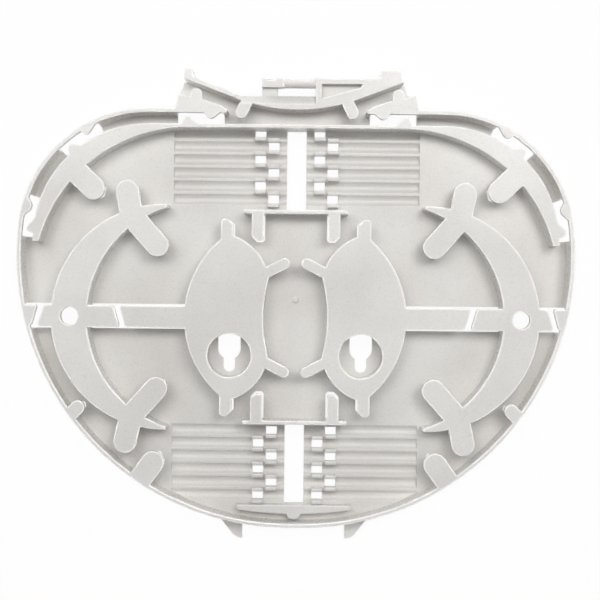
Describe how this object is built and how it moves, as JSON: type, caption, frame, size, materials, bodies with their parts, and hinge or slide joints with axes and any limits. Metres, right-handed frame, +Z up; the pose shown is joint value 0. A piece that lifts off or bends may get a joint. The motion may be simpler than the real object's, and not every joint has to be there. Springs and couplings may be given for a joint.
{
  "type": "fibre_splice_tray",
  "caption": "Pale grey moulded fibre splice tray with a rounded rim, curved fibre guides, overhanging tabs, grooved splice pads and a hinge bracket",
  "frame": {"origin": "under the middle of the tray's overall box, at the underside of the splice pads", "axes": "+X across the width, +Y towards the hinge bracket, +Z up out of the open side"},
  "size_m": [0.15, 0.1272, 0.0084],
  "materials": {
    "moulded_plastic": "fine matte"
  },
  "bodies": {
    "root": {"splice_tray": "moulded_plastic"}
  },
  "joints": []
}
